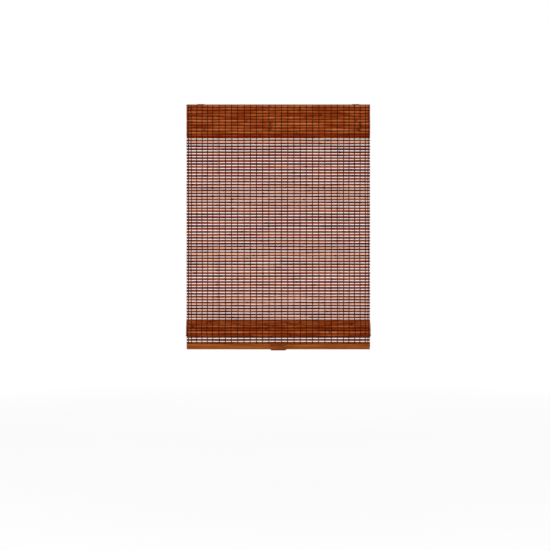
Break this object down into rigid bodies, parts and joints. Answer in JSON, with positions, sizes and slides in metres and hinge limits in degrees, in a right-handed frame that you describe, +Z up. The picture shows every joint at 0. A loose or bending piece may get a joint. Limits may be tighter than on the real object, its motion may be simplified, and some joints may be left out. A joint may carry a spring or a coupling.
{
  "type": "bamboo roman shade",
  "caption": "Roman shade of woven bamboo slats on a metal headrail, with a matching valance, a pleat gathered above a wooden bottom rail, and a cordless spring lift.",
  "frame": {"origin": "centre of the plane that the two brackets screw to, at the brackets' top faces", "axes": "+Z up, -Y faces the room, +X to the right seen from the room"},
  "size_m": [0.9, 0.0946, 1.2065],
  "materials": {
    "bamboo": "satin stained bamboo with dark knots",
    "warp_cotton": "matt dark brown twisted cotton",
    "rail_wood": "satin golden brown stain",
    "pull_wood": "satin brown stain",
    "rail_aluminium": "satin dark bronze anodising",
    "bracket_steel": "dark bronze coating",
    "shaft_steel": "drawn",
    "brown_plastic": "moulded",
    "white_plastic": "moulded",
    "ring_plastic": "moulded",
    "motor_plastic": "moulded",
    "tape_fabric": "brown woven tape",
    "cord_fabric": "braided cord"
  },
  "bodies": {
    "headrail": {"headrail": "rail_aluminium", "end_cap_left": "brown_plastic", "end_cap_right": "brown_plastic", "bracket_left": "bracket_steel", "bracket_right": "bracket_steel", "hook_tape": "tape_fabric", "loop_tape": "tape_fabric", "mat": "bamboo", "warp_threads": "warp_cotton", "valance_tape": "tape_fabric", "valance": "bamboo", "valance_threads": "warp_cotton", "spool_cradle_left": "white_plastic", "spool_cradle_right": "white_plastic", "motor_case": "motor_plastic", "motor_cover": "motor_plastic", "cord_eyelets": "white_plastic", "lift_cord_left": "cord_fabric", "lift_cord_right": "cord_fabric"},
    "bottom_rail": {"bottom_rail": "rail_wood", "rail_back_strip": "rail_wood", "lift_handle": "pull_wood", "ring_row_5": "ring_plastic", "ring_row_6": "ring_plastic", "cord_stops": "brown_plastic"},
    "lift_shaft": {"lift_shaft": "shaft_steel", "cord_spool_left": "white_plastic", "cord_spool_right": "white_plastic"},
    "ring_row_1": {"ring_row_1": "ring_plastic"},
    "ring_row_2": {"ring_row_2": "ring_plastic"},
    "ring_row_3": {"ring_row_3": "ring_plastic"},
    "ring_row_4": {"ring_row_4": "ring_plastic"}
  },
  "joints": [
    {"name": "lift", "type": "slide", "parent": "headrail", "child": "bottom_rail", "axis": [0, 0, 1], "range_m": [0, 0.85], "deforming": ["mat", "warp_threads", "lift_cord_left", "lift_cord_right"]},
    {"name": "shaft_turn", "type": "hinge", "parent": "headrail", "child": "lift_shaft", "pos_m": [0, -0.0061, -0.018], "axis": [1, 0, 0], "range_deg": [-5412, 0]},
    {"name": "ring_row_1_rise", "type": "slide", "parent": "headrail", "child": "ring_row_1", "axis": [0, 0, 1], "range_m": [0, 0.1668]},
    {"name": "ring_row_2_rise", "type": "slide", "parent": "headrail", "child": "ring_row_2", "axis": [0, 0, 1], "range_m": [0, 0.3393]},
    {"name": "ring_row_3_rise", "type": "slide", "parent": "headrail", "child": "ring_row_3", "axis": [0, 0, 1], "range_m": [0, 0.5117]},
    {"name": "ring_row_4_rise", "type": "slide", "parent": "headrail", "child": "ring_row_4", "axis": [0, 0, 1], "range_m": [0, 0.6842]}
  ],
  "couplings": [
    {"joint": "shaft_turn", "follows": "lift", "rad_per_m": -111.11},
    {"joint": "ring_row_1_rise", "follows": "lift", "ratio": 0.19565},
    {"joint": "ring_row_2_rise", "follows": "lift", "ratio": 0.39855},
    {"joint": "ring_row_3_rise", "follows": "lift", "ratio": 0.60145},
    {"joint": "ring_row_4_rise", "follows": "lift", "ratio": 0.80435}
  ]
}
